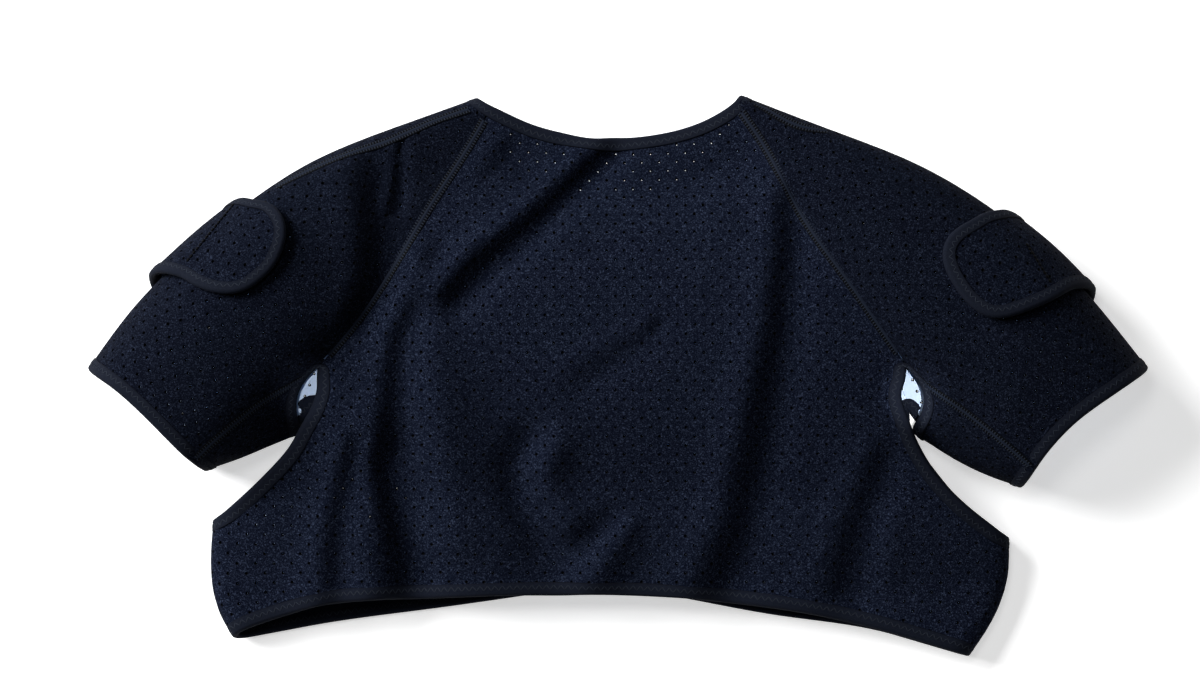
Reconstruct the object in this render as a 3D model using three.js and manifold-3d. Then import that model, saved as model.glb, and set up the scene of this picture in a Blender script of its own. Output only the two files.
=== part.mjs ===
// A shoulder warmer for both shoulders: a short-sleeved bolero of perforated neoprene,
// laid back up on a flat surface, with bound edges, open underarms and a strap round each arm.
// Lengths are in millimetres: x across the back, y from the hem to the neck, z up from the surface.
import * as THREE from 'three';
import { mergeVertices } from 'three/addons/utils/BufferGeometryUtils.js';
import Module from 'manifold-3d';

const wasm = await Module();
wasm.setup();

// Cloth and binding
const CLOTH = 3.5; // neoprene with a knit face and a laminated lining
const TAPE = 0.8; // binding tape, folded over every free edge
const TAPE_WIDTH = 6.8; // how far the folded tape reaches in from the edge
const TAPE_BULGE = 1; // how far the fold of the tape stands out from the cloth's edge
const TAPE_GAP = 0.5; // air between tape and cloth
const SEAM_GAP = 0.4; // each panel stops this far short of its seam line
const CLEARANCE = 0.2; // least air that a tape keeps to the cloth

// Heights of the cloth's middle layer
const LOW = CLOTH / 2 + TAPE_GAP + TAPE; // the lower layer lies on its bindings
const SIDE_FOLD_RADIUS = 9;
const HIGH = LOW + 2 * SIDE_FOLD_RADIUS; // the upper layer beside a side fold
const CUFF_TOP = 66; // crown of the sleeve at the cuff
const CUFF_DROP = 0.6; // power of the cuff's fall from its fold to the surface: less is squarer
const BACK_CROWN = 5; // how far the back swells above its edges
const SLEEVE_CROWN = 7;
const BACK_MARGIN = 0.12; // share of the back's width over which folds fade out at each side
const SLEEVE_MARGIN = 0.3; // the same share of the sleeve's length, for its folds and its crown

// Cells of the cloth grids along each edge
const CELLS = {
  wing: 4, armhole: 7, raglan: 8, back: 22, front: 8, neckFold: 3, gap: 4, sideFold: 6, strap: 3,
};
const SLEEVE_ROWS = [0, 0.15, 0.26, 0.38, 0.5, 0.62, 0.74, 0.85, 1];
const SAME_POINT = 1e-3; // points closer than this are one

const at = (x, y, z) => new THREE.Vector3(x, y, z);

// Corners where edges and seams meet, a table for each side. turnOver is the way that the cloth
// turns over the side fold, in plan, at the armhole and at the hem.
const LEFT = {
  sign: -1,
  neckFold: at(-84.8, 165.2, 12),
  neckBack: at(-76, 160, 22),
  neckFront: at(-80, 154, LOW),
  armpitBack: at(-184, 2.5, 42),
  armpitFront: at(-184.5, -23, LOW),
  gapEnd: at(-189.5, -33.5, 20),
  wingTop: at(-234, -81.5, HIGH),
  hemBack: at(-221.5, -149, HIGH),
  hemFront: at(-221.5, -155, LOW),
  cuffOuter: at(-314.5, 4.5, 27),
  cuffInner: at(-246.5, -54.5, 27),
  turnOver: { top: at(-0.78, -0.62, 0), hem: at(-0.95, -0.3, 0) },
};
const RIGHT = {
  sign: 1,
  neckFold: at(72.8, 167, 12),
  neckBack: at(70, 161.5, 22),
  neckFront: at(71, 155, LOW),
  armpitBack: at(175.5, 2.5, 42),
  armpitFront: at(175, -23, LOW),
  gapEnd: at(178.5, -34, 20),
  wingTop: at(225, -92, HIGH),
  hemBack: at(200.5, -163, HIGH),
  hemFront: at(200.5, -164, LOW),
  cuffOuter: at(314, 4.6, 27),
  cuffInner: at(240, -64.5, 27),
  turnOver: { top: at(0.8, -0.6, 0), hem: at(0.96, -0.28, 0) },
};

// Points that each edge passes between its corners.
const LEFT_BETWEEN = {
  wing: [at(-231, -134, HIGH), at(-235.5, -110, HIGH)],
  armholeBack: [at(-217.5, -67, 27), at(-190, -38, 37), at(-181.5, -25, 40), at(-178.2, -12, 42),
    at(-179, -3, 42)],
  armholeFront: [at(-217.5, -67, LOW), at(-193, -44, LOW), at(-182, -35, LOW), at(-179.5, -28, LOW)],
  raglanBack: [at(-162, 25, 46), at(-135, 62.5, 46), at(-113, 100, 40), at(-95, 127, 32)],
  raglanFront: [at(-165, 15, LOW), at(-137, 58, LOW), at(-98, 120, LOW)],
  gapBack: [at(-189.5, -2.5, 42), at(-193.3, -12, 41), at(-192.5, -24, 34)],
  gapFront: [at(-189.8, -27, 5)],
  shoulder: [at(-118, 153, 18), at(-154, 140, 23), at(-179, 130, 25.5), at(-206.6, 112.6, 27.5),
    at(-241, 87, 28.5), at(-273.6, 55.7, 28.5), at(-304.5, 23.2, 28)],
  underarm: [at(-208.3, -40.9, 23), at(-226.2, -48.1, 25.5)],
  cuff: [at(-293.8, -9, 0), at(-274.6, -27, 0), at(-257.6, -44.8, 0)],
};
const RIGHT_BETWEEN = {
  wing: [at(215.5, -141, HIGH), at(225, -115, HIGH)],
  armholeBack: [at(204.3, -76, 27), at(187.4, -58, 31), at(173, -33, 38), at(168.8, -16, 41),
    at(170.3, -5, 42)],
  armholeFront: [at(204.3, -76, LOW), at(184, -51, LOW), at(173, -36, LOW), at(170.5, -28, LOW)],
  raglanBack: [at(160, 24, 46), at(133, 62.5, 46), at(111, 92, 41), at(86, 140, 30)],
  raglanFront: [at(163, 15, LOW), at(138, 54, LOW), at(88, 134, LOW)],
  gapBack: [at(181.2, -2, 42), at(184, -12, 41), at(182, -24, 34)],
  gapFront: [at(180.5, -27, 5)],
  shoulder: [at(96, 157.4, 17), at(144.6, 139.3, 23), at(169, 130.4, 25.5), at(202.5, 112.5, 27.5),
    at(228.2, 94.6, 28.5), at(258.1, 70.7, 28.5), at(300.3, 23.2, 28)],
  underarm: [at(188, -41.2, 22), at(206, -51.9, 24), at(224, -59.6, 26)],
  cuff: [at(293.6, -8.4, 0), at(268.6, -26, 0), at(251.4, -45, 0)],
};

// The hem and the neck run from the left side to the right one.
const HEM_BACK = [at(-200, -141.6, 23), at(-167, -133.5, 27), at(-119, -131.5, 29), at(-55, -129.2, 30),
  at(7, -129.6, 29), at(50, -132, 29), at(100, -138, 28), at(146, -147, 25)];
const HEM_FRONT = [at(-197, -149, LOW), at(-137, -141, LOW), at(-83, -135, LOW), at(-11, -123, LOW),
  at(61, -136, LOW), at(97, -143.3, LOW), at(146, -147, LOW)];
const NECK_BACK = [at(-46, 146.6, 22), at(-6, 140.4, 21), at(30, 144, 21.5), at(53, 151.4, 22)];
const NECK_FRONT = [at(-58, 122, LOW), at(-6, 103, LOW), at(48, 122, LOW)];

// Folds and dents of the upper layer: the line that each follows, its half width and its lift.
const BACK_FOLDS = [
  { x0: -18, y0: 128, x1: -92, y1: 50, width: 9, lift: -8 },
  { x0: -40, y0: 126, x1: -104, y1: 62, width: 13, lift: 4 },
  { x0: 86, y0: 118, x1: 62, y1: -95, width: 20, lift: 6 },
  { x0: 108, y0: 105, x1: 84, y1: -105, width: 15, lift: -6 },
  { x0: -116, y0: 46, x1: -112, y1: -60, width: 13, lift: 4 },
  { x0: -172, y0: -50, x1: -168, y1: -118, width: 11, lift: -6 },
  { x0: -152, y0: -75, x1: -150, y1: -124, width: 9, lift: 3 },
  { x0: -130, y0: -95, x1: -126, y1: -124, width: 9, lift: -4 },
  { x0: -52, y0: -52, x1: -30, y1: -100, width: 14, lift: 4 },
  { x0: 20, y0: -70, x1: -16, y1: -112, width: 12, lift: 3.5 },
  { x0: 34, y0: -76, x1: 6, y1: -118, width: 9, lift: -3.5 },
  { x0: 150, y0: -70, x1: 142, y1: -105, width: 14, lift: -5 },
  { x0: 172, y0: -100, x1: 182, y1: -118, width: 14, lift: 4 },
];
const SLEEVE_FOLDS = [
  { x0: -131, y0: 134, x1: -136, y1: 100, width: 7, lift: -6 },
  { x0: -140, y0: 108, x1: -158, y1: 48, width: 14, lift: -5 },
  { x0: 110, y0: 140, x1: 113, y1: 124, width: 7, lift: -5 },
];

// Arm straps: each row crosses the strap at one turn round the sleeve (0 on the shoulder fold,
// up over the top), between two places along the sleeve, held off it at the cuff side.
const LEFT_STRAP = [
  { turn: -54, from: 0.6, to: 0.81, lift: 0 },
  { turn: -46, from: 0.595, to: 0.805, lift: 0 },
  { turn: -22, from: 0.575, to: 0.79, lift: 1 },
  { turn: 0, from: 0.55, to: 0.77, lift: 1.5 },
  { turn: 24, from: 0.52, to: 0.74, lift: 1 },
  { turn: 44, from: 0.462, to: 0.698, lift: 0 },
  { turn: 54, from: 0.428, to: 0.662, lift: 0 },
  { turn: 62, from: 0.417, to: 0.622, lift: 0 },
  { turn: 68, from: 0.43, to: 0.582, lift: 0 },
  { turn: 71.5, from: 0.464, to: 0.536, lift: 0 },
];
const RIGHT_STRAP = [
  { turn: -54, from: 0.62, to: 0.85, lift: 0 },
  { turn: -46, from: 0.62, to: 0.845, lift: 0 },
  { turn: -22, from: 0.615, to: 0.83, lift: 0 },
  { turn: 0, from: 0.6, to: 0.81, lift: 0 },
  { turn: 25, from: 0.57, to: 0.787, lift: 0 },
  { turn: 42, from: 0.525, to: 0.765, lift: 0 },
  { turn: 53, from: 0.472, to: 0.74, lift: 0 },
  { turn: 62, from: 0.442, to: 0.71, lift: 0 },
  { turn: 69.5, from: 0.444, to: 0.67, lift: 0 },
  { turn: 75, from: 0.47, to: 0.63, lift: 0 },
  { turn: 78, from: 0.515, to: 0.585, lift: 0 },
];
const STRAP_STEP = 9; // degrees of turn between two rows of the strap's grid
const STRAP_SEAT = 1.8; // air under the strap for its own binding

const GARMENT_COLOR = 0x141a26;
const BINDING_COLOR = 0x1c212c;

const edge = (...points) => new THREE.CatmullRomCurve3(points, false, 'centripetal');
const reversed = (curve) => ({ getPointAt: (u) => curve.getPointAt(1 - u) });
const lowered = (point) => at(point.x, point.y, LOW);

// The edge curves of one side, from the hem up to the neck and from the neck out to the cuff.
function sideEdges(corner, between) {
  const wingTopLow = lowered(corner.wingTop);
  return {
    wing: edge(corner.hemBack, ...between.wing, corner.wingTop),
    armholeBack: edge(corner.wingTop, ...between.armholeBack, corner.armpitBack),
    armholeFront: edge(wingTopLow, ...between.armholeFront, corner.armpitFront),
    raglanBack: edge(corner.armpitBack, ...between.raglanBack, corner.neckBack),
    raglanFront: edge(corner.armpitFront, ...between.raglanFront, corner.neckFront),
    gapBack: edge(corner.armpitBack, ...between.gapBack, corner.gapEnd),
    gapFront: edge(corner.armpitFront, ...between.gapFront, corner.gapEnd),
    neckOverBack: quarterFold(corner.neckFold, corner.neckBack),
    neckOverFront: quarterFold(corner.neckFold, corner.neckFront),
    shoulder: edge(corner.neckFold, ...between.shoulder, corner.cuffOuter),
    underarm: edge(corner.gapEnd, ...between.underarm, corner.cuffInner),
    cuff: edge(corner.cuffOuter, ...between.cuff, corner.cuffInner),
  };
}

// A quarter of an ellipse that leaves the fold upright and reaches the flat point level.
function quarterFold(fold, flat) {
  return {
    getPointAt(u) {
      const angle = (u * Math.PI) / 2;
      const point = fold.clone().lerp(flat, 1 - Math.cos(angle));
      point.z = fold.z + (flat.z - fold.z) * Math.sin(angle);
      return point;
    },
  };
}

// One curve made of several, each given its share of the grid's cells.
function piecewise(...parts) {
  const total = parts.reduce((sum, [, cells]) => sum + cells, 0);
  return (u) => {
    let place = u * total;
    for (const [curve, cells] of parts) {
      if (place <= cells + 1e-6) return curve.getPointAt(Math.min(place / cells, 1));
      place -= cells;
    }
    throw new Error('a place beyond the end of the edge');
  };
}

const even = (cells) => Array.from({ length: cells + 1 }, (_, i) => i / cells);

// A cloth surface spanned between four edges (a Coons patch): start and end run across it,
// first and last along it.
function spanned({ start, end, first, last, blend = (u) => u }, u, v) {
  const s = blend(u);
  const rows = start(u).lerp(end(u), v);
  const columns = first(v).lerp(last(v), s);
  const corners = start(0).lerp(start(1), s).lerp(end(0).lerp(end(1), s), v);
  return rows.add(columns).sub(corners);
}

const grid = (rows, columns, point) => rows.map((v) => columns.map((u) => point(u, v)));

// How far the folds raise or sink the cloth at a place.
function foldLift(folds, point) {
  const place = at(point.x, point.y, 0);
  return folds.reduce((sum, { x0, y0, x1, y1, width, lift }) => {
    const line = new THREE.Line3(at(x0, y0, 0), at(x1, y1, 0));
    const nearest = line.closestPointToPoint(place, true, at(0, 0, 0));
    return sum + lift * Math.exp(-((place.distanceTo(nearest) / width) ** 2));
  }, 0);
}

// 1 inside the cloth, fading to 0 at both edges, so that folds and crowns leave the seams alone.
const inside = (u, margin) =>
  THREE.MathUtils.smoothstep(u, 0, margin) * THREE.MathUtils.smoothstep(1 - u, 0, margin);

// Cloth as a surface of grids that share their common points.
class Sheet {
  constructor(...grids) {
    const corners = [];
    for (const rows of grids)
      for (let r = 0; r + 1 < rows.length; r++)
        for (let c = 0; c + 1 < rows[r].length; c++) {
          const [a, b, d, e] = [rows[r][c], rows[r][c + 1], rows[r + 1][c + 1], rows[r + 1][c]];
          corners.push(a, b, d, a, d, e);
        }
    this.surface = mergeVertices(new THREE.BufferGeometry().setFromPoints(corners), SAME_POINT);
    this.surface.computeVertexNormals();
    this.places = new Map();
    const position = this.surface.attributes.position;
    for (let i = 0; i < position.count; i++)
      this.places.set(Sheet.key(new THREE.Vector3().fromBufferAttribute(position, i)), i);
  }

  static key(point) {
    return point.toArray().map((value) => Math.round(Math.fround(value) / SAME_POINT)).join(' ');
  }

  normalAt(point) {
    const { normal } = this.surface.attributes;
    return new THREE.Vector3().fromBufferAttribute(normal, this.places.get(Sheet.key(point)));
  }

  setNormal(point, direction) {
    this.surface.attributes.normal.setXYZ(this.places.get(Sheet.key(point)), ...direction.toArray());
  }

  // The sheet with its thickness, closed round the rim.
  wall(thickness) {
    const { position, normal } = this.surface.attributes;
    const index = this.surface.index.array;
    const count = position.count;
    const points = [];
    for (const side of [1, -1])
      for (let i = 0; i < count; i++)
        points.push(new THREE.Vector3().fromBufferAttribute(position, i)
          .addScaledVector(new THREE.Vector3().fromBufferAttribute(normal, i), (side * thickness) / 2));
    const faces = [];
    const halfEdges = new Map();
    for (let i = 0; i < index.length; i += 3) {
      const [a, b, c] = [index[i], index[i + 1], index[i + 2]];
      faces.push(a, b, c, c + count, b + count, a + count);
      for (const [from, to] of [[a, b], [b, c], [c, a]]) halfEdges.set(`${from} ${to}`, [from, to]);
    }
    for (const [from, to] of halfEdges.values())
      if (!halfEdges.has(`${to} ${from}`))
        faces.push(to, from, from + count, to, from + count, to + count);
    return new THREE.BufferGeometry().setFromPoints(points).setIndex(faces);
  }
}

// Moves the points of an edge towards the next row of the cloth, to leave the seam's gap.
function shortOfSeam(edgePoints, nextPoints) {
  edgePoints.forEach((point, i) => {
    point.addScaledVector(nextPoints[i].clone().sub(point).normalize(), SEAM_GAP);
  });
}

const column = (rows, c) => rows.map((row) => row.at(c));

// The half turn of cloth over a side fold, from the upper layer out and under to the lower one.
function sideFold(top, low, direction) {
  return even(CELLS.sideFold).map((u) => {
    const angle = u * Math.PI;
    const point = top.clone().lerp(low, (1 - Math.cos(angle)) / 2);
    return point.addScaledVector(direction, SIDE_FOLD_RADIUS * Math.sin(angle));
  });
}

const sides = [
  { corner: LEFT, edges: sideEdges(LEFT, LEFT_BETWEEN) },
  { corner: RIGHT, edges: sideEdges(RIGHT, RIGHT_BETWEEN) },
];
const [left, right] = sides;

// The back: one piece from hem to neck that wraps the sides of the chest and ends under them.
const hemBack = edge(LEFT.hemBack, ...HEM_BACK, RIGHT.hemBack);
const hemFront = edge(LEFT.hemFront, ...HEM_FRONT, RIGHT.hemFront);
const neckBack = edge(LEFT.neckBack, ...NECK_BACK, RIGHT.neckBack);
const neckFront = edge(LEFT.neckFront, ...NECK_FRONT, RIGHT.neckFront);

const bodyRows = even(CELLS.wing + CELLS.armhole + CELLS.raglan);
const sideOf = (wing, armhole, raglan) =>
  piecewise([wing, CELLS.wing], [armhole, CELLS.armhole], [raglan, CELLS.raglan]);

const backEdges = {
  start: (u) => hemBack.getPointAt(u),
  end: (u) => neckBack.getPointAt(u),
  first: sideOf(left.edges.wing, left.edges.armholeBack, left.edges.raglanBack),
  last: sideOf(right.edges.wing, right.edges.armholeBack, right.edges.raglanBack),
};
const backGrid = grid(bodyRows, even(CELLS.back), (u, v) => {
  const point = spanned(backEdges, u, v);
  const crown = BACK_CROWN * Math.sin(Math.PI * u) * Math.sin(Math.PI * v);
  point.z += crown + foldLift(BACK_FOLDS, point) * inside(u, BACK_MARGIN);
  return point;
});

// Rows of the side folds, from the hem to the armhole, and the lower line where each one ends.
for (const { corner, edges } of sides) {
  const drop = lowered(corner.hemFront).sub(lowered(corner.hemBack));
  edges.foldRows = even(CELLS.wing).map((v) => {
    const top = edges.wing.getPointAt(v);
    const low = lowered(top).addScaledVector(drop, 1 - v);
    return sideFold(top, low, corner.turnOver.hem.clone().lerp(corner.turnOver.top, v));
  });
  edges.wingLow = edge(...column(edges.foldRows, -1));
}

// The front: a plain panel under the back, from side fold to side fold, with a lower neck.
const frontEdges = {
  start: (u) => hemFront.getPointAt(u),
  end: (u) => neckFront.getPointAt(u),
  first: sideOf(left.edges.wingLow, left.edges.armholeFront, left.edges.raglanFront),
  last: sideOf(right.edges.wingLow, right.edges.armholeFront, right.edges.raglanFront),
};
const frontGrid = grid(bodyRows, even(CELLS.front), (u, v) => spanned(frontEdges, u, v));

const raglanRow = CELLS.wing + CELLS.armhole;
const raglanPoints = (points) => points.slice(raglanRow);
const wingPoints = (points) => points.slice(0, CELLS.wing + 1);
for (const [seam, next] of [[0, 1], [-1, -2]]) {
  for (const rows of [backGrid, frontGrid])
    shortOfSeam(raglanPoints(column(rows, seam)), raglanPoints(column(rows, next)));
  shortOfSeam(wingPoints(column(frontGrid, seam)), wingPoints(column(frontGrid, next)));
}
for (const { edges } of sides) shortOfSeam(column(edges.foldRows, -1), column(edges.foldRows, -2));

const bandGrid = backGrid.slice(0, CELLS.wing + 1).map((row, r) => [
  ...left.edges.foldRows[r].slice(1).reverse(), ...row, ...right.edges.foldRows[r].slice(1)]);
const back = new Sheet(bandGrid, backGrid.slice(CELLS.wing));
const front = new Sheet(frontGrid);

// A sleeve: a tube from the raglan seams and the underarm gap out to the cuff.
// turn is 0 on the shoulder fold, 180 on the underarm fold, positive over the top and negative under.
function sleevePoint({ corner, edges }, turn, along) {
  const over = turn >= 0;
  const cells = [CELLS.neckFold, CELLS.raglan, CELLS.gap];
  const inner = over
    ? [edges.neckOverBack, reversed(edges.raglanBack), edges.gapBack]
    : [edges.neckOverFront, reversed(edges.raglanFront), edges.gapFront];
  const blend = (u) => (1 - Math.cos(Math.PI * u)) / 2;
  const cuff = (u) => {
    const point = edges.cuff.getPointAt(blend(u));
    const fold = THREE.MathUtils.lerp(corner.cuffOuter.z, corner.cuffInner.z, blend(u));
    const round = Math.sin(Math.PI * u);
    const top = fold + (CUFF_TOP - fold) * round;
    const under = fold - (fold - LOW) * Math.max(round, 0) ** CUFF_DROP;
    point.z = over ? top : under;
    return point;
  };
  const point = spanned({
    start: piecewise(...inner.map((curve, i) => [curve, cells[i]])),
    end: cuff,
    first: (v) => edges.shoulder.getPointAt(v),
    last: (v) => edges.underarm.getPointAt(v),
    blend,
  }, Math.abs(turn) / 180, along);
  if (over) {
    const swell = Math.sin((Math.PI * turn) / 180) * inside(along, SLEEVE_MARGIN);
    point.z += swell * (SLEEVE_CROWN + foldLift(SLEEVE_FOLDS, point));
  }
  point.z = Math.max(point.z, LOW);
  return point;
}

const sleeveTurns = even(CELLS.neckFold + CELLS.raglan + CELLS.gap).map((u) => 180 * u);
const ringTurns = [...sleeveTurns, ...sleeveTurns.slice(1, -1).reverse().map((turn) => -turn), 0];
for (const side of sides) {
  side.ring = grid(SLEEVE_ROWS, ringTurns, (turn, along) => sleevePoint(side, turn, along));
  shortOfSeam(side.ring[0].slice(0, -1), side.ring[1].slice(0, -1));
  side.ring[0].splice(-1, 1, side.ring[0][0].clone());
  side.sleeve = new Sheet(side.ring);
}

// A strap that wraps the sleeve's shoulder fold, sewn on underneath, with its rounded tab on top.
// Two short steps on the sleeve, round it and along it, give the way out from it.
const ROUND_STEP = 0.5;
const ALONG_STEP = 0.01;
function strapPoint(side, { turn, from, to, lift }, across, seat) {
  const along = THREE.MathUtils.lerp(from, to, across);
  const on = (turnStep, alongStep) => sleevePoint(side, turn + turnStep, along + alongStep);
  const point = on(0, 0);
  const round = on(ROUND_STEP, 0).sub(on(-ROUND_STEP, 0));
  const out = on(0, ALONG_STEP).sub(on(0, -ALONG_STEP));
  const normal = out.cross(round).normalize().multiplyScalar(-side.corner.sign);
  return point.addScaledVector(normal, CLOTH + seat + lift * across);
}

// The rows of a strap's table, with even steps of turn between them.
function strapRows(table) {
  return table.flatMap((row, r) => {
    if (r + 1 === table.length) return [row];
    const next = table[r + 1];
    const steps = Math.ceil((next.turn - row.turn) / STRAP_STEP);
    const between = (name, u) => THREE.MathUtils.lerp(row[name], next[name], u);
    return even(steps).slice(0, -1).map((u) => Object.fromEntries(
      Object.keys(row).map((name) => [name, between(name, u)])));
  });
}

for (const side of sides) {
  const table = side === left ? LEFT_STRAP : RIGHT_STRAP;
  side.strapGrid = strapRows(table).map((row, r) => {
    const seat = r === 0 ? SEAM_GAP : STRAP_SEAT;
    return even(CELLS.strap).map((across) => strapPoint(side, row, across, seat));
  });
  side.strap = new Sheet(side.strapGrid);
}

// Along a seam both panels take the mean of their normals, so that their rims stand face to face.
function matchNormals(one, onePoints, other, otherPoints) {
  onePoints.forEach((point, i) => {
    const [here, there] = [one.normalAt(point), other.normalAt(otherPoints[i])];
    const facing = Math.sign(here.dot(there));
    const mean = here.addScaledVector(there, facing).normalize();
    one.setNormal(point, mean);
    other.setNormal(otherPoints[i], mean.clone().multiplyScalar(facing));
  });
}

// A stretch of the sleeve's ring of points, from one column to another.
const halfRing = sleeveTurns.length - 1;
function ringColumns(row, first, last) {
  const step = Math.sign(last - first);
  const count = Math.abs(last - first) + 1;
  const wrapped = (c) => (c + 2 * halfRing) % (2 * halfRing);
  return Array.from({ length: count }, (_, i) => row[wrapped(first + i * step)]);
}
for (const side of sides) {
  const { sleeve, ring, edges } = side;
  const seam = side === left ? 0 : -1;
  const gapEdge = halfRing - CELLS.gap;
  const overRaglan = ringColumns(ring[0], gapEdge, CELLS.neckFold);
  const underRaglan = ringColumns(ring[0], -gapEdge, -CELLS.neckFold);
  matchNormals(back, raglanPoints(column(backGrid, seam)), sleeve, overRaglan);
  matchNormals(front, raglanPoints(column(frontGrid, seam)), sleeve, underRaglan);
  matchNormals(back, column(edges.foldRows, -1), front, wingPoints(column(frontGrid, seam)));
}

// Binding: stations along an edge, each with its way into the cloth and the cloth's normal.
function stations(sheet, edgePoints, nextPoints) {
  return edgePoints.map((point, i) => ({
    point,
    inward: nextPoints[i].clone().sub(point).normalize(),
    normal: sheet.normalAt(point),
  }));
}

// One station in place of the two that meet at a corner.
function cornerStation(one, other) {
  const facing = Math.sign(one.normal.dot(other.normal));
  return {
    point: one.point.clone().lerp(other.point, 0.5),
    inward: one.inward.clone().add(other.inward).normalize(),
    normal: one.normal.clone().addScaledVector(other.normal, facing).normalize(),
  };
}

// Runs of stations joined end to end, with one station at each corner.
function joined(runs, closed) {
  const path = [];
  for (const run of runs) {
    if (!path.length) path.push(...run);
    else path.push(cornerStation(path.pop(), run[0]), ...run.slice(1));
  }
  if (closed) path.splice(0, 1, cornerStation(path.pop(), path[0]));
  return sameFacing(path);
}

// Front and back panels are gridded the same way up, so the normals are turned to agree along the path.
function sameFacing(path) {
  for (let i = 1; i < path.length; i++)
    if (path[i].normal.dot(path[i - 1].normal) < 0) path[i].normal.negate();
  return path;
}

// The folded tape's section: how far in from the edge, and how far to the cloth's two sides.
const TAPE_INSIDE = CLOTH / 2 + TAPE_GAP;
const TAPE_OUTSIDE = TAPE_INSIDE + TAPE;
const TAPE_SECTION = [
  [TAPE_WIDTH, TAPE_OUTSIDE],
  [-TAPE_GAP, TAPE_OUTSIDE],
  [-TAPE_GAP - TAPE_BULGE, 0],
  [-TAPE_GAP, -TAPE_OUTSIDE],
  [TAPE_WIDTH, -TAPE_OUTSIDE],
  [TAPE_WIDTH, -TAPE_INSIDE],
  [-TAPE_GAP, -TAPE_INSIDE],
  [-TAPE_GAP, TAPE_INSIDE],
  [TAPE_WIDTH, TAPE_INSIDE],
];

function tape(path, closed) {
  const count = TAPE_SECTION.length;
  const points = path.flatMap(({ point, inward, normal }) => TAPE_SECTION.map(([depth, side]) =>
    point.clone().addScaledVector(inward, depth).addScaledVector(normal, side)));
  const faces = [];
  const steps = closed ? path.length : path.length - 1;
  for (let i = 0; i < steps; i++)
    for (let k = 0; k < count; k++) {
      const [a, b] = [i * count + k, i * count + ((k + 1) % count)];
      const [c, d] = [a, b].map((place) => (place + count) % points.length);
      faces.push(a, b, d, a, d, c);
    }
  if (!closed) {
    const outline = TAPE_SECTION.map(([x, y]) => new THREE.Vector2(x, y));
    const lastRing = (path.length - 1) * count;
    for (const [a, b, c] of THREE.ShapeUtils.triangulateShape(outline, []))
      faces.push(c, b, a, lastRing + a, lastRing + b, lastRing + c);
  }
  return new THREE.BufferGeometry().setFromPoints(points).setIndex(faces);
}

// Solids, to trim a tape where the cloth bends too close to it.
function solid(geometry) {
  const { attributes, index } = geometry;
  const loose = new THREE.BufferGeometry().setAttribute('position', attributes.position).setIndex(index);
  const bare = mergeVertices(loose, SAME_POINT);
  return new wasm.Manifold(new wasm.Mesh({
    numProp: 3,
    vertProperties: new Float32Array(bare.attributes.position.array),
    triVerts: new Uint32Array(bare.index.array),
  }));
}

function geometryOf(manifold) {
  const { vertProperties, triVerts } = manifold.getMesh();
  return new THREE.BufferGeometry()
    .setAttribute('position', new THREE.BufferAttribute(vertProperties, 3))
    .setIndex(new THREE.BufferAttribute(triVerts, 1));
}

function facingOut(geometry) {
  if (solid(geometry).volume() > 0) return geometry;
  const faces = geometry.index.array;
  for (let i = 0; i < faces.length; i += 3) [faces[i], faces[i + 2]] = [faces[i + 2], faces[i]];
  return geometry;
}

function clearOf(geometry, sheets) {
  const grown = sheets.map((sheet) => solid(sheet.wall(CLOTH + 2 * CLEARANCE)));
  const trimmed = grown.reduce((rest, wall) => rest.subtract(wall), solid(facingOut(geometry)));
  const largest = trimmed.decompose().sort((a, b) => b.volume() - a.volume())[0];
  return geometryOf(largest);
}

// Stretches of the sleeve's inner end.
const sleeveStations = ({ sleeve, ring }, first, last) =>
  stations(sleeve, ringColumns(ring[0], first, last), ringColumns(ring[1], first, last));
const turnedRound = (points) => [...points].reverse();

const hemPath = joined([
  stations(back, bandGrid[0], bandGrid[1]),
  stations(front, turnedRound(frontGrid[0]), turnedRound(frontGrid[1])),
], true);

const neckPath = joined([
  stations(back, turnedRound(backGrid.at(-1)), turnedRound(backGrid.at(-2))),
  sleeveStations(left, CELLS.neckFold, -CELLS.neckFold),
  stations(front, frontGrid.at(-1), frontGrid.at(-2)),
  sleeveStations(right, -CELLS.neckFold, CELLS.neckFold),
], true);

// Round the underarm gap: down the back's armhole, over the side fold, up the front's armhole,
// and back by the sleeve.
function underarmPath(side) {
  const edgeAndNext = side === left ? [0, 1] : [-1, -2];
  const armhole = (rows) =>
    edgeAndNext.map((c) => column(rows, c).slice(CELLS.wing, raglanRow + 1));
  const { foldRows } = side.edges;
  const ofBody = joined([
    stations(back, ...armhole(backGrid).map(turnedRound)),
    stations(back, foldRows.at(-1), foldRows.at(-2)),
    stations(front, ...armhole(frontGrid)),
  ], false);
  const ofSleeve = sleeveStations(side, halfRing + CELLS.gap, halfRing - CELLS.gap);
  const frontTip = gapTip(ofBody.pop(), ofSleeve.shift(), side.edges.raglanFront);
  const backTip = gapTip(ofBody.shift(), ofSleeve.pop(), side.edges.raglanBack);
  return sameFacing([...ofBody, frontTip, ...ofSleeve, backTip]);
}

// The station at an end of the gap, where the tape's way in runs up the start of the raglan seam.
const RAGLAN_START = 0.05;
function gapTip(ofBody, ofSleeve, raglan) {
  const tip = cornerStation(ofBody, ofSleeve);
  return { ...tip, inward: raglan.getPointAt(RAGLAN_START).sub(raglan.getPointAt(0)).normalize() };
}

// Round the free edges of a strap, stopping short of the end that is sewn to the sleeve.
function strapPath(side) {
  const rows = side.strapGrid.slice(1);
  const inner = (c) => [column(rows, c), column(rows, c === 0 ? 1 : -2)];
  return joined([
    stations(side.strap, ...inner(0)),
    stations(side.strap, rows.at(-1), rows.at(-2)),
    stations(side.strap, ...inner(-1).map(turnedRound)),
  ], false);
}

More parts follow.
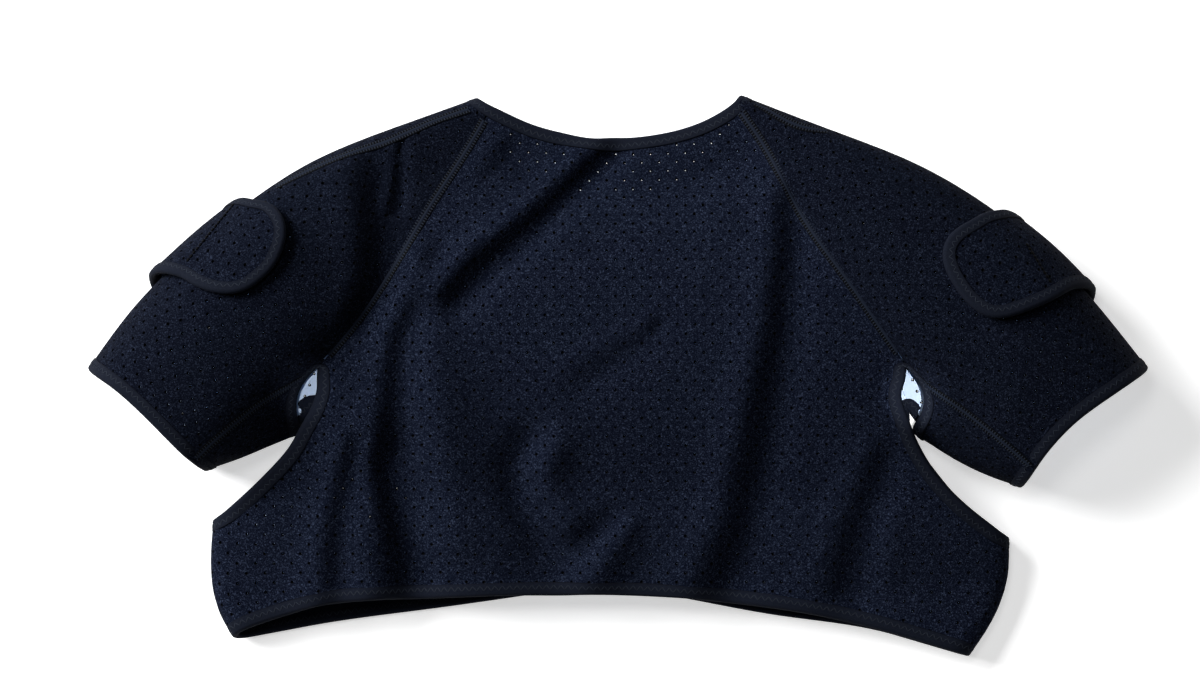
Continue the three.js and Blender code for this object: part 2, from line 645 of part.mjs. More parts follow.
const garment = new THREE.Group();
const cloth = new THREE.MeshStandardMaterial({ color: GARMENT_COLOR, roughness: 0.95, metalness: 0 });
const binding = new THREE.MeshStandardMaterial({ color: BINDING_COLOR, roughness: 0.8, metalness: 0 });
function add(name, geometry, material) {
  const mesh = new THREE.Mesh(geometry, material);
  mesh.name = name;
  garment.add(mesh);
}
add('back_panel', back.wall(CLOTH), cloth);
add('front_panel', front.wall(CLOTH), cloth);
add('hem_binding', clearOf(tape(hemPath, true), [back, front]), binding);
add('neck_binding', clearOf(tape(neckPath, true), [back, front, left.sleeve, right.sleeve]), binding);
for (const side of sides) {
  const hand = side === left ? 'left' : 'right';
  const { sleeve, strap, ring } = side;
  const cuffTape = tape(joined([stations(sleeve, ring.at(-1), ring.at(-2))], true), true);
  const underarmTape = tape(underarmPath(side), true);
  const strapTape = tape(strapPath(side), false);
  add(`sleeve_${hand}`, sleeve.wall(CLOTH), cloth);
  add(`cuff_binding_${hand}`, clearOf(cuffTape, [sleeve]), binding);
  add(`underarm_binding_${hand}`, clearOf(underarmTape, [back, front, sleeve]), binding);
  add(`arm_strap_${hand}`, strap.wall(CLOTH), cloth);
  add(`strap_binding_${hand}`, clearOf(strapTape, [strap, sleeve]), binding);
}

// The part stands on the surface at the middle of its outline.
const box = new THREE.Box3().setFromObject(garment);
const middle = box.getCenter(at(0, 0, 0));
for (const mesh of garment.children) mesh.geometry.translate(-middle.x, -middle.y, -box.min.z);

export default garment;
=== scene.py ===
import math
from collections import namedtuple

import bmesh
import bpy
from mathutils import Matrix, Vector, geometry
from mathutils.bvhtree import BVHTree
from mathutils.kdtree import KDTree


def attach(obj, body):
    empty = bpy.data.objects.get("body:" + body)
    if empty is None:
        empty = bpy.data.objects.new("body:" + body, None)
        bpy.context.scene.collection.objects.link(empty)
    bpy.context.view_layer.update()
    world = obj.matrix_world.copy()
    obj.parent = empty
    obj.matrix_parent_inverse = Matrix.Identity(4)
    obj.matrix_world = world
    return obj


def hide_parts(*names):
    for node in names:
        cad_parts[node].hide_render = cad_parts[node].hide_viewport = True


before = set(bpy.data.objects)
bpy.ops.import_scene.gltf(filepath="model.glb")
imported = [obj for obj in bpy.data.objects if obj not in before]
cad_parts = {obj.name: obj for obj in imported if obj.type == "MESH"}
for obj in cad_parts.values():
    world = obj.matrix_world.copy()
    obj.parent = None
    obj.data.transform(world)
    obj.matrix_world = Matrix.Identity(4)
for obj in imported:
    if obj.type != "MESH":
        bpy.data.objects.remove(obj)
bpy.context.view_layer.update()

# The view. The warmer lies back up on a white table and is seen from straight above
# through a long lens, so that both sleeves show their full length.
IMAGE_WIDTH_PX = 1200
IMAGE_MIDDLE_PX = (600, 337.5)
WARMER_MIDDLE_PX = (618, 375)
PIXEL = 0.5965e-3
LENS_HEIGHT = 4.0
SEEN_HEIGHT = 0.025
SENSOR = 0.036

lens = bpy.data.cameras.new("long_lens")
lens.sensor_width = SENSOR * 1000
lens.lens = SENSOR * 1000 * LENS_HEIGHT / (IMAGE_WIDTH_PX * PIXEL)
lens.clip_end = 3 * LENS_HEIGHT
camera = bpy.data.objects.new("camera", lens)
camera.location = (
    (IMAGE_MIDDLE_PX[0] - WARMER_MIDDLE_PX[0]) * PIXEL,
    (WARMER_MIDDLE_PX[1] - IMAGE_MIDDLE_PX[1]) * PIXEL,
    LENS_HEIGHT + SEEN_HEIGHT,
)
bpy.context.scene.collection.objects.link(camera)
bpy.context.scene.camera = camera

# The neoprene. Every panel is cut from one laminate: a fuzzy knit face, closed foam and a pale
# lining, punched all over with small holes in offset rows before it is cut and sewn. The foam
# closes up again behind the punch, so each hole is narrow at half its depth.
CLOTH = 3.5e-3
HOLE_CELL = (2.675e-3, 2.85e-3)
CELLS_PER_HOLE = 4
HOLE_RADIUS = 1.0e-3
HOLE_NARROWING = 0.75
HOLE_MARGIN = 5e-3
KNIT_DARK = (0.0017, 0.0028, 0.0078, 1)
KNIT_BRIGHT = (0.0275, 0.0370, 0.067, 1)
FIBRES_PER_METRE = 1450
TUFTS_PER_METRE = 1350
PATCHES_PER_METRE = 120
FIBRE_SHARPNESS = 7
FIBRE_TONE = 9
GLINT_SHARPNESS = 8
GLINT_TONE = 0.75
PATCH_TONE = 0.08
KNIT_DEPTH = 4e-4
# How dark the knit of the pieces cut on the slant is: painted shade for the way their pile takes the
# light.
SLEEVE_NAP_SHADE = 0.58
STRAP_NAP_SHADE = 0.64
LINING_PALE = (0.50, 0.63, 0.84, 1)
LINING_SHADE = 0.8
LINING_THREADS_PER_METRE = 900
LINING_DEPTH = 2e-4
FOAM_BLACK = (0.0012, 0.0014, 0.002, 1)
FOAM_GREY = (0.004, 0.0046, 0.006, 1)
FOAM_CELLS_PER_METRE = 2500


class Socket:
    """An output in a material's nodes. Sums and products of sockets add Math nodes."""

    def __init__(self, tree, source=None):
        self.tree = tree
        self.source = source

    def node(self, kind, settings, inputs, output=0):
        """Adds a node, makes its settings, then sets or joins its inputs, and gives one output."""
        made = self.tree.nodes.new(kind)
        for name, value in settings.items():
            setattr(made, name, value)
        for name, value in inputs.items():
            if isinstance(value, Socket):
                self.tree.links.new(value.source, made.inputs[name])
            else:
                made.inputs[name].default_value = value
        return Socket(self.tree, made.outputs[output])

    def math(self, operation, *values):
        return self.node("ShaderNodeMath", {"operation": operation}, dict(enumerate(values)))

    def __add__(self, other):
        return self.math("ADD", self, other)

    def __sub__(self, other):
        return self.math("SUBTRACT", self, other)

    def __rsub__(self, other):
        return self.math("SUBTRACT", other, self)

    def __mul__(self, other):
        return self.math("MULTIPLY", self, other)

    def __pow__(self, other):
        return self.math("POWER", self, other)

    __radd__ = __add__
    __rmul__ = __mul__

    def between(self, dark, bright):
        """A colour from dark to bright as this value goes from 0 to 1."""
        inputs = {"Factor": self, 6: dark, 7: bright}
        return self.node("ShaderNodeMix", {"data_type": "RGBA"}, inputs, 2)


def finish(name, colour, roughness, **fixed):
    """A new material, its shader, and a place to start its nodes from."""
    material = bpy.data.materials.new(name)
    material.use_nodes = True
    shader = material.node_tree.nodes["Principled BSDF"]
    shader.inputs["Base Color"].default_value = colour
    shader.inputs["Roughness"].default_value = roughness
    for socket, value in fixed.items():
        shader.inputs[socket.replace("_", " ")].default_value = value
    return material, shader, Socket(material.node_tree)


def drive(shader, socket, value):
    """Joins a value that changes over the surface to one of the shader's sockets."""
    value.tree.links.new(value.source, shader.inputs[socket])


def dimmed(colour, share):
    """A colour with only a share of its brightness."""
    return tuple(part * share for part in colour[:3]) + (1,)


def noise(start, place, scale, detail):
    """Cloudy noise, with so many clouds to the metre."""
    return start.node("ShaderNodeTexNoise", {}, {"Vector": place, "Scale": scale, "Detail": detail})


def bumped(start, shader, height, strength, depth):
    """Gives the shader the small relief of a height."""
    inputs = {"Height": height, "Strength": strength, "Distance": depth}
    drive(shader, "Normal", start.node("ShaderNodeBump", {}, inputs))


def knit_finish(name, nap_shade=1):
    """Fuzzy loop knit: short fibres stand out pale over a dark ground, partly the knit's own grain
    and partly painted highlight, and single tufts sparkle as painted highlights. Pieces cut on the
    slant, whose pile lies another way, get a darker copy: painted shade for how that pile takes the
    light."""
    # Painted shade: the slanted pieces get a darker copy of the knit.
    dark = dimmed(KNIT_DARK, nap_shade)
    bright = dimmed(KNIT_BRIGHT, nap_shade)
    material, shader, start = finish(name, dark, roughness=0.95, Specular_IOR_Level=0.03)
    place = start.node("ShaderNodeTexCoord", {}, {}, "Object")
    fibres = noise(start, place, FIBRES_PER_METRE, detail=2)
    cells = {"Vector": place, "Scale": TUFTS_PER_METRE}
    tufts = start.node("ShaderNodeTexVoronoi", {}, cells, "Color")
    tuft = start.node("ShaderNodeSeparateColor", {}, {"Color": tufts})
    patches = noise(start, place, PATCHES_PER_METRE, detail=3)
    # Painted highlight: single tufts sparkle in the base colour.
    painted_glint = tuft ** GLINT_SHARPNESS
    # The pale fibres: partly the knit's own grain, partly painted highlight.
    fibre_tone = fibres ** FIBRE_SHARPNESS * FIBRE_TONE
    tone = fibre_tone + painted_glint * GLINT_TONE + patches * PATCH_TONE - PATCH_TONE
    drive(shader, "Base Color", tone.between(dark, bright))
    bumped(start, shader, fibres + painted_glint, strength=0.7, depth=KNIT_DEPTH)
    return material


def lining_finish():
    """Smooth pale lining, with a fine woven grain."""
    material, shader, start = finish("silver_lining", LINING_PALE, roughness=0.55)
    place = start.node("ShaderNodeTexCoord", {}, {}, "Object")
    grain = noise(start, place, LINING_THREADS_PER_METRE, detail=1)
    shaded = dimmed(LINING_PALE, LINING_SHADE)
    drive(shader, "Base Color", grain.between(shaded, LINING_PALE))
    bumped(start, shader, grain, strength=0.2, depth=LINING_DEPTH)
    return material


def foam_finish():
    """The cut face of the foam, seen in the holes: black, with its cells cut open."""
    material, shader, start = finish("cut_foam", FOAM_BLACK, roughness=0.95,
                                     Specular_IOR_Level=0.02)
    place = start.node("ShaderNodeTexCoord", {}, {}, "Object")
    cells = {"Vector": place, "Scale": FOAM_CELLS_PER_METRE}
    wall = start.node("ShaderNodeTexVoronoi", {}, cells, "Distance")
    drive(shader, "Base Color", wall.between(FOAM_BLACK, FOAM_GREY))
    return material


inside = [lining_finish(), foam_finish()]
body_knit = knit_finish("navy_knit")
sleeve_knit = knit_finish("sleeve_knit", SLEEVE_NAP_SHADE)
strap_knit = knit_finish("strap_knit", STRAP_NAP_SHADE)

# How the cloth lies, in plan and in millimetres: the line of each fold; its half width at both
# ends; how far it lifts both sides alike; and how far the side on the left of the line stands up
# as the right side sinks, or the other way round below zero. That drop fades with the width.
Fold = namedtuple("Fold", "line start_width end_width lift drop")
FOLDS = [
    Fold([(-101, 50), (-82, 69), (-56, 89), (-9, 133)], 13, 10, -0.5, 6.4),
    Fold([(56, -122), (70, -87), (81, -33), (92, 27), (98, 80), (98, 104)], 19, 11, 0, 5.0),
    Fold([(-158, 36), (-148, 57), (-148, 87), (-151, 118)], 11, 15, 0, 4.6),
    Fold([(-134, 99), (-132, 118), (-131, 137)], 5, 3.5, -1, 3.4),
    Fold([(-140, -130), (-142, -45)], 27, 22, 0, 7.0),
    Fold([(-172, -130), (-170, -90), (-159, -40)], 14, 9, -1, 5.0),
    Fold([(-129, -120), (-134, -90), (-144, -52)], 13, 8, -1, 3.4),
    Fold([(-60, -100), (-75, -60), (-85, -20)], 28, 24, 0, 2.5),
    Fold([(-97, -100), (-107, -40), (-111, 45)], 12, 14, 3.5, 0),
    Fold([(-139, -42), (-133, 18), (-112, 70)], 12, 10, 0, 3.6),
    Fold([(-80, 121), (-67, 138)], 8, 7, 0, 1.0),
    Fold([(-38, -90), (-50, -72), (-53, -57), (-46, -42)], 15, 13, 0, -5.5),
    Fold([(-21, -114), (1, -89)], 15, 9, 1, -4.6),
    Fold([(-27, -74), (-24, -64)], 12, 10, -1.2, 0),
    Fold([(-200, -110), (200, -110)], 35, 35, 0, 3.0),
    Fold([(-23, 1), (23, 29)], 12, 8, 0, 1.6),
    Fold([(23, 28), (24, 30)], 4.5, 4.5, -2, 0),
    Fold([(131, -122), (138, -92), (154, -50)], 18, 12, 0, 3.4),
    Fold([(158, -118), (166, -84)], 11, 8, 1.5, 0),
    Fold([(108, 135), (109, 139)], 5, 5, -1.5, 0),
    Fold([(-228, 101), (-255, 68)], 4, 4, -0.9, 0),
    Fold([(241, 77), (255, 54)], 4, 4, -0.6, 0),
    Fold([(-55, 125), (-30, 114), (0, 109), (40, 114), (75, 128)], 16, 16, -6, 0),
]
# Brings the crest of x * exp(-x * x) to a height of 1.
CREST = math.sqrt(2 * math.e)


def fold_lift(point):
    """How far the folds raise or sink the cloth at a place."""
    place = Vector((point.x, point.y)) * 1000
    total = 0
    for fold in FOLDS:
        ways = []
        count = len(fold.line) - 1
        for number, ends in enumerate(zip(fold.line, fold.line[1:])):
            start, end = Vector(ends[0]), Vector(ends[1])
            share = min(1, max(0, geometry.intersect_point_line(place, start, end)[1]))
            off = place - start.lerp(end, share)
            to_left = (end - start).normalized().cross(off)
            ways.append((off.length, to_left, (number + share) / count))
        distance, left, along = min(ways)
        width = fold.start_width + (fold.end_width - fold.start_width) * along
        fading = width / max(fold.start_width, fold.end_width)
        rise = fold.lift + fold.drop * fading * CREST * left / width
        total += rise * math.exp(-((distance / width) ** 2))
    return total / 1000


# Where a panel is drawn aside from its solid, in millimetres: the place in plan, how far round it
# the pull reaches, and the shift.
Pull = namedtuple("Pull", "node place reach shift")
PULLS = [
    Pull("back_panel", (-187, -30), 12, (-2.4, 0.9, 0)),
    Pull("back_panel", (-179, -6), 7, (2.8, 0, 0)),
    Pull("back_panel", (173, -11), 10, (-4.5, 0, 0)),
    Pull("sleeve_right", (180, -34), 9, (-5.5, 0, 0)),
    Pull("arm_strap_left", (-239, 54), 26, (0, -6.5, 3.0)),
    Pull("arm_strap_left", (-258, 58), 12, (0, -2.0, 1.0)),
    Pull("arm_strap_left", (-197, 88), 22, (-2.7, -0.5, 4.0)),
    Pull("arm_strap_left", (-231, 103), 14, (4.5, 2.0, 0)),
    Pull("arm_strap_left", (-209, 103), 14, (-1.2, -2.2, 0)),
    Pull("arm_strap_left", (-274, 60), 12, (0, 2.0, 0)),
    Pull("arm_strap_right", (215, 42), 26, (-1.5, -5.5, 2.0)),
    Pull("arm_strap_right", (194, 72), 18, (-3.2, 0, 1.0)),
    Pull("arm_strap_right", (209, 91), 14, (0, -2.2, 0)),
    Pull("arm_strap_right", (238, 95), 14, (-5.0, 1.5, 0)),
]


def pulled_aside(node, point):
    """How far a panel is drawn aside at a place."""
    place = Vector((point.x, point.y)) * 1000
    total = Vector()
    for pull in PULLS:
        if pull.node == node:
            distance = (place - Vector(pull.place)).length
            total += Vector(pull.shift) * math.exp(-((distance / pull.reach) ** 2))
    return total / 1000


RIM_ANGLE = math.radians(40)
WELD = 1e-5


def knit_face(node, side):
    """The outer face of a cloth solid: all that is reached from its highest or lowest face
    without turning over the cut rim."""
    mesh = bmesh.new()
    mesh.from_mesh(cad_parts[node].data)
    bmesh.ops.remove_doubles(mesh, verts=mesh.verts, dist=WELD)
    reached = {max(mesh.faces, key=lambda face: side * face.calc_center_median().z)}
    waiting = list(reached)
    while waiting:
        for edge in waiting.pop().edges:
            if edge.calc_face_angle() < RIM_ANGLE:
                fresh = set(edge.link_faces) - reached
                reached |= fresh
                waiting.extend(fresh)
    beyond = [face for face in mesh.faces if face not in reached]
    bmesh.ops.delete(mesh, geom=beyond, context="FACES")
    return mesh


def diagonals_from(first, diagonal):
    """The diagonal of every cell, given that of one triangle. On a grid that is halved one way
    all over, the diagonals on the two sides of a cell's edge touch opposite ends of it."""
    found = {first: diagonal}
    waiting = [first]
    while waiting:
        face = waiting.pop()
        for edge in face.edges:
            for other in edge.link_faces:
                if other in found:
                    continue
                if edge is found[face]:
                    found[other] = edge
                else:
                    end = next(vert for vert in edge.verts if vert not in found[face].verts)
                    found[other] = next(e for e in other.edges if e is not edge and end in e.verts)
                waiting.append(other)
    return found


def into_quads(mesh):
    """Joins the two triangles of every cell, by the one way that leaves the fewest over."""
    mesh.faces.ensure_lookup_table()
    first = mesh.faces[0]
    tries = [diagonals_from(first, edge) for edge in first.edges]

    def paired(found):
        """How many triangles share their diagonal with the triangle across it."""
        return sum(found[face] is found[other]
                   for face in found for other in found[face].link_faces)

    best = max(tries, key=paired)
    inner = dict.fromkeys(edge for edge in best.values() if len(edge.link_faces) == 2)
    bmesh.ops.dissolve_edges(mesh, edges=list(inner), use_verts=False)


def grid_line(mesh, start):
    """The grid line that leaves the edge of the cloth at the vertex nearest to start."""
    rim = [vert for vert in mesh.verts if vert.is_boundary and len(vert.link_edges) == 3]
    vert = min(rim, key=lambda v: (v.co - start).length)
    edge = next(e for e in vert.link_edges if not e.is_boundary)
    line = [edge]
    vert = edge.other_vert(vert)
    while not vert.is_boundary:
        beside = {e for face in edge.link_faces for e in face.edges}
        edge = next(e for e in vert.link_edges if e not in beside)
        line.append(edge)
        vert = edge.other_vert(vert)
    return line


SMOOTH_LEVELS = 3


class Cloth:
    """A cut piece of cloth: its smooth knit face, and the same points laid flat."""

    def __init__(self, node, side=1, seam_start=None, slack=0):
        self.node = node
        base = knit_face(node, side)
        into_quads(base)
        for _ in range(slack):
            inner = [vert for vert in base.verts if not vert.is_boundary]
            bmesh.ops.smooth_vert(base, verts=inner, factor=0.5, use_axis_z=True)
        if seam_start:
            bmesh.ops.split_edges(base, edges=grid_line(base, Vector(seam_start)))
        self.mesh = self.laid_smooth(base)
        self.mesh.verts.ensure_lookup_table()
        self.on_solid = [vert.co.copy() for vert in self.mesh.verts]
        for vert, place in zip(self.mesh.verts, self.on_solid):
            facing = max(0, vert.normal.z)
            vert.co += pulled_aside(node, place) * math.sqrt(facing)
            vert.co.z += fold_lift(place) * facing
        self.mesh.normal_update()
        self.flat = self.flat_points(side)
        self.loops = self.edge_loops()

    def laid_smooth(self, base):
        """Unrolls the coarse face, then smooths it, so that each fine point knows its flat place."""
        data = bpy.data.meshes.new(self.node + "_cut")
        base.to_mesh(data)
        cut = bpy.data.objects.new(self.node + "_cut", data)
        bpy.context.scene.collection.objects.link(cut)
        bpy.context.view_layer.objects.active = cut
        bpy.ops.object.mode_set(mode="EDIT")
        bpy.ops.mesh.select_all(action="SELECT")
        bpy.ops.uv.unwrap(method="ANGLE_BASED", margin=0)
        bpy.ops.object.mode_set(mode="OBJECT")
        smooth = cut.modifiers.new("smooth", "SUBSURF")
        smooth.levels = SMOOTH_LEVELS
        smooth.render_levels = SMOOTH_LEVELS
        smooth.boundary_smooth = "PRESERVE_CORNERS"
        fine = bmesh.new()
        fine.from_object(cut, bpy.context.evaluated_depsgraph_get())
        bpy.data.objects.remove(cut)
        return fine

    def flat_points(self, side):
        """The flat place of each point in metres, turned to lie as the piece lies."""
        layer = self.mesh.loops.layers.uv.active
        flat = [vert.link_loops[0][layer].uv.copy() for vert in self.mesh.verts]
        area = sum(face.calc_area() for face in self.mesh.faces)
        unrolled = sum(
            geometry.area_tri(flat[a.index], flat[b.index], flat[c.index])
            for a, b, c in self.triangles()
        )
        size = math.sqrt(area / unrolled)
        middle = sum(flat, Vector((0, 0))) / len(flat)
        flat = [(point - middle) * size for point in flat]
        turn = [0, 0]
        for vert, point in zip(self.mesh.verts, flat):
            lying = Vector((side * vert.co.x, vert.co.y)) * max(0, side * vert.normal.z)
            turn[0] += point.dot(lying)
            turn[1] += point.cross(lying)
        angle = math.atan2(turn[1], turn[0])
        return [Matrix.Rotation(angle, 2) @ point for point in flat]

    def triangles(self):
        return [[loop.vert for loop in loops] for loops in self.mesh.calc_loop_triangles()]

    def edge_loops(self):
        """The cut edge of the piece, as closed rows of vertices in order."""
        left = dict.fromkeys(edge for edge in self.mesh.edges if edge.is_boundary)
        loops = []
        while left:
            edge = left.popitem()[0]
            loop = [edge.verts[0], edge.verts[1]]
            while loop[-1] is not loop[0]:
                edge = next(e for e in loop[-1].link_edges if e in left)
                left.pop(edge)
                loop.append(edge.other_vert(loop[-1]))
                if not any(e in left for e in loop[-1].link_edges):
                    break
            loops.append(loop[:-1] if loop[-1] is loop[0] else loop)
        return loops


NEAR_CORNERS = 4


class Outline:
    """The outline of a flat cut, for finding what lies near it."""

    def __init__(self, loops, flat):
        self.corners = [flat[vert.index] for loop in loops for vert in loop]
        self.following = [flat[vert.index] for loop in loops for vert in loop[1:] + loop[:1]]
        self.tree = KDTree(len(self.corners))
        for place, corner in enumerate(self.corners):
            self.tree.insert(corner, place)
        self.tree.balance()

    def distance(self, point):
        """How far a point is from the nearest corner."""
        return self.tree.find(point)[2]

    def nearest(self, point):
        """The nearest point of the outline, on the stretches from its nearest corners."""
        feet = []
        for _, place, _ in self.tree.find_n(point, NEAR_CORNERS):
            start, end = self.corners[place], self.following[place]
            share = geometry.intersect_point_line(point, start, end)[1]
            feet.append(start.lerp(end, min(1, max(0, share))))
        return min(feet, key=lambda foot: (foot - point).length)


def lattice(low, high):
    """A flat sheet of small cells that covers the space between two corners."""
    count = [math.ceil((high[axis] - low[axis]) / HOLE_CELL[axis]) for axis in (0, 1)]
    size = (count[0] * HOLE_CELL[0], count[1] * HOLE_CELL[1], 1)
    sheet = bmesh.new()
    bmesh.ops.create_grid(sheet, x_segments=count[0], y_segments=count[1], size=0.5)
    bmesh.ops.translate(sheet, verts=sheet.verts, vec=(0.5, 0.5, 0))
    bmesh.ops.scale(sheet, verts=sheet.verts, vec=size)
    bmesh.ops.translate(sheet, verts=sheet.verts, vec=(*low, 0))
    return sheet


def offset_rows(sheet, low, outline):
    """The places of the holes: every so many cells, in offset rows, clear of the outline."""
    chosen = ((0, 0), (CELLS_PER_HOLE // 2, CELLS_PER_HOLE // 2))
    places = []
    for vert in sheet.verts:
        column = round((vert.co.x - low[0]) / HOLE_CELL[0]) % CELLS_PER_HOLE
        row = round((vert.co.y - low[1]) / HOLE_CELL[1]) % CELLS_PER_HOLE
        if (column, row) in chosen and not vert.is_boundary:
            if outline.distance(vert.co) > HOLE_MARGIN:
                places.append(vert)
    return places


def punch(sheet, places):
    """Cuts an eight-sided hole at each place, and gives the ring of vertices round each."""
    for vert in places:
        for face in list(vert.link_faces):
            across = face.verts[(list(face.verts).index(vert) + 2) % 4]
            bmesh.utils.face_split(face, vert, across)
    holes = bmesh.ops.bevel(sheet, geom=places, offset=HOLE_RADIUS, offset_type="OFFSET",
                            segments=1, profile=0.5, affect="VERTICES", material=-1)["faces"]
    rings = [list(hole.verts) for hole in holes]
    bmesh.ops.delete(sheet, geom=holes, context="FACES")
    return rings


def perforated(cloth):
    """A flat sheet of small cells, trimmed to the cut, punched in offset rows and laid on the
    form. Gives the sheet, and the ring of vertex numbers round each hole."""
    low = [min(point[axis] for point in cloth.flat) for axis in (0, 1)]
    high = [max(point[axis] for point in cloth.flat) for axis in (0, 1)]
    sheet = lattice(low, high)
    triangles = cloth.triangles()
    flat = [point.to_3d() for point in cloth.flat]
    cut = BVHTree.FromPolygons(flat, [[vert.index for vert in corners] for corners in triangles])
    outside = [f for f in sheet.faces if cut.find_nearest(f.calc_center_median())[3] > WELD]
    bmesh.ops.delete(sheet, geom=outside, context="FACES")
    outline = Outline(cloth.loops, flat)
    places = offset_rows(sheet, low, outline)
    for vert in [v for v in sheet.verts if v.is_boundary]:
        vert.co = outline.nearest(vert.co)
    rings = punch(sheet, places)
    for vert in sheet.verts:
        foot, _, index, _ = cut.find_nearest(vert.co)
        corners = triangles[index]
        vert.co = geometry.barycentric_transform(
            foot, *[flat[c.index] for c in corners], *[c.co for c in corners])
    bmesh.ops.recalc_face_normals(sheet, faces=sheet.faces)
    known = triangles[0][0]
    over = min(sheet.faces, key=lambda face: (face.calc_center_median() - known.co).length)
    if over.normal.dot(known.normal) < 0:
        bmesh.ops.reverse_faces(sheet, faces=sheet.faces)
    sheet.verts.index_update()
    return sheet, [[vert.index for vert in ring] for ring in rings]


def narrowed(panel, rings):
    """Draws each hole in at half its depth, where the foam closes up again behind the punch."""
    mesh = bmesh.new()
    mesh.from_mesh(panel.data)
    mesh.verts.ensure_lookup_table()
    under = len(mesh.verts) // 2
    walls = []
    for ring in rings:
        ends = [(mesh.verts[place], mesh.verts[under + place]) for place in ring]
        walls.append([mesh.edges.get(pair) for pair in ends])
    waists = []
    for wall in walls:
        waists.append([bmesh.utils.edge_split(edge, edge.verts[0], 0.5)[1] for edge in wall])
    bmesh.ops.connect_verts(mesh, verts=[vert for waist in waists for vert in waist])
    for waist in waists:
        middle = sum((vert.co for vert in waist), Vector()) / len(waist)
        for vert in waist:
            vert.co = vert.co.lerp(middle, HOLE_NARROWING)
    mesh.to_mesh(panel.data)


SHARP = math.radians(50)


def piece(name, mesh, finishes, wall=0):
    """A finished piece, with its wall under the outer face, riding on the warmer."""
    data = bpy.data.meshes.new(name)
    mesh.to_mesh(data)
    for material in finishes:
        data.materials.append(material)
    made = bpy.data.objects.new(name, data)
    bpy.context.scene.collection.objects.link(made)
    if wall:
        solid = made.modifiers.new("wall", "SOLIDIFY")
        solid.thickness = wall
        solid.offset = -1
        solid.material_offset = 1
        solid.material_offset_rim = 2
        graph = bpy.context.evaluated_depsgraph_get()
        made.data = bpy.data.meshes.new_from_object(made.evaluated_get(graph))
        made.modifiers.clear()
    made.data.shade_smooth()
    made.data.set_sharp_from_angle(angle=SHARP)
    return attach(made, "root")


cloths = {
    "back_panel": Cloth("back_panel", slack=10),
    "front_panel": Cloth("front_panel", side=-1),
    "sleeve_left": Cloth("sleeve_left", seam_start=(-0.184, 0.003, 0.044)),
    "sleeve_right": Cloth("sleeve_right", seam_start=(0.1755, 0.003, 0.044)),
    "arm_strap_left": Cloth("arm_strap_left"),
    "arm_strap_right": Cloth("arm_strap_right"),
}
KNITS = {"sleeve": sleeve_knit, "arm": strap_knit}
for node, cloth in cloths.items():
    knit = KNITS.get(node.split("_")[0], body_knit)
    punched, rings = perforated(cloth)
    panel = piece(node + "_cloth", punched, [knit] + inside, CLOTH)
    narrowed(panel, rings)
    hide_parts(node)
    width, length = ([point[axis] for point in cloth.flat] for axis in (0, 1))
    cut_size = (max(width) - min(width), max(length) - min(length))
    cut_area = sum(face.calc_area() for face in cloth.mesh.faces)

# The seams. Panels meet edge to edge and are joined flat: a cover of threads runs over the join,
# with a smooth rib in the middle and a ladder of short stitches on each side.
MEETING = 1.5e-3
LADDER_STEP = 1.75e-3
LADDER_REACH = (0.7e-3, 2.7e-3)
LADDER_TOP = 0.42e-3
THREAD = 0.36e-3
THREAD_FLATNESS = 0.8
TWISTS_PER_METRE = 2200
# Half of the cover's section: how far from the middle, and how far up from the cloth.
HALF_COVER = [(0, 0.75e-3), (0.7e-3, 0.5e-3), (1.4e-3, 0.16e-3),
              (2.1e-3, 0.36e-3), (2.6e-3, 0.3e-3), (2.9e-3, 0)]
COVER_SECTION = [(-across, up) for across, up in HALF_COVER[:0:-1]] + HALF_COVER
COVER_WALL = 0.15e-3
COVER_WIDTH = 6.4e-3
RIB_WIDTH = 1.3e-3
RIB_CRISPNESS = 2
EASING_ROUNDS = 6
# A seam stops this many stitches short of both ends of its line. Where it joins panels, that is
# under the tapes.
SEAM_END = 2
SEAM_DARK = (0.0009, 0.0012, 0.002, 1)
SEAM_BRIGHT = (0.0072, 0.0103, 0.0190, 1)
THREAD_DARK = (0.0085, 0.0112, 0.0175, 1)
THREAD_BRIGHT = (0.0225, 0.0282, 0.0425, 1)

Station = namedtuple("Station", "point inward normal")


def station(before, vert, after):
    """A point of a cut edge, the way into the cloth from it, and the way out of its face."""
    inward = vert.normal.cross(after.co - before.co).normalized()
    middles = [face.calc_center_median() for face in vert.link_faces]
    middle = sum(middles, Vector()) / len(middles)
    if inward.dot(middle - vert.co) < 0:
        inward.negate()
    return Station(vert.co.copy(), inward, vert.normal.copy())


def stations(verts):
    """The stations along a stretch of a cut edge."""
    before = verts[:1] + verts[:-1]
    after = verts[1:] + verts[-1:]
    return [station(*near) for near in zip(before, verts, after)]


def runs_of(labels):
    """Splits a closed row of labels into stretches of the same label, as (label, places)."""
    count = len(labels)
    first = next((k for k in range(count) if labels[k] != labels[k - 1]), 0)
    runs = []
    for step in range(count):
        place = (first + step) % count
        if not runs or runs[-1][0] != labels[place]:
            runs.append((labels[place], []))
        runs[-1][1].append(place)
    return runs


panels = [name for name in cloths if not name.startswith("arm_strap")]
rim = []
for name in panels:
    for loop in cloths[name].loops:
        rim += [(name, place, loop) for place in range(len(loop))]
rim_tree = KDTree(len(rim))
for number, (name, place, loop) in enumerate(rim):
    rim_tree.insert(loop[place].co, number)
rim_tree.balance()
# Points of one edge that are this near along it are neighbours there, not sewn to each other.
BESIDE = 12
# Stretches of edge with fewer points than this are neither sewn nor taped.
SHORTEST_RUN = 12


def neighbour(name, loop, place):
    """The panel that is sewn on at a point of a cut edge, and where; nothing at a free edge."""
    for _, number, _ in rim_tree.find_range(loop[place].co, MEETING):
        other, there, other_loop = rim[number]
        apart = abs(there - place)
        if other != name or min(apart, len(loop) - apart) > BESIDE:
            return other, other_loop[there].co
    return None, None


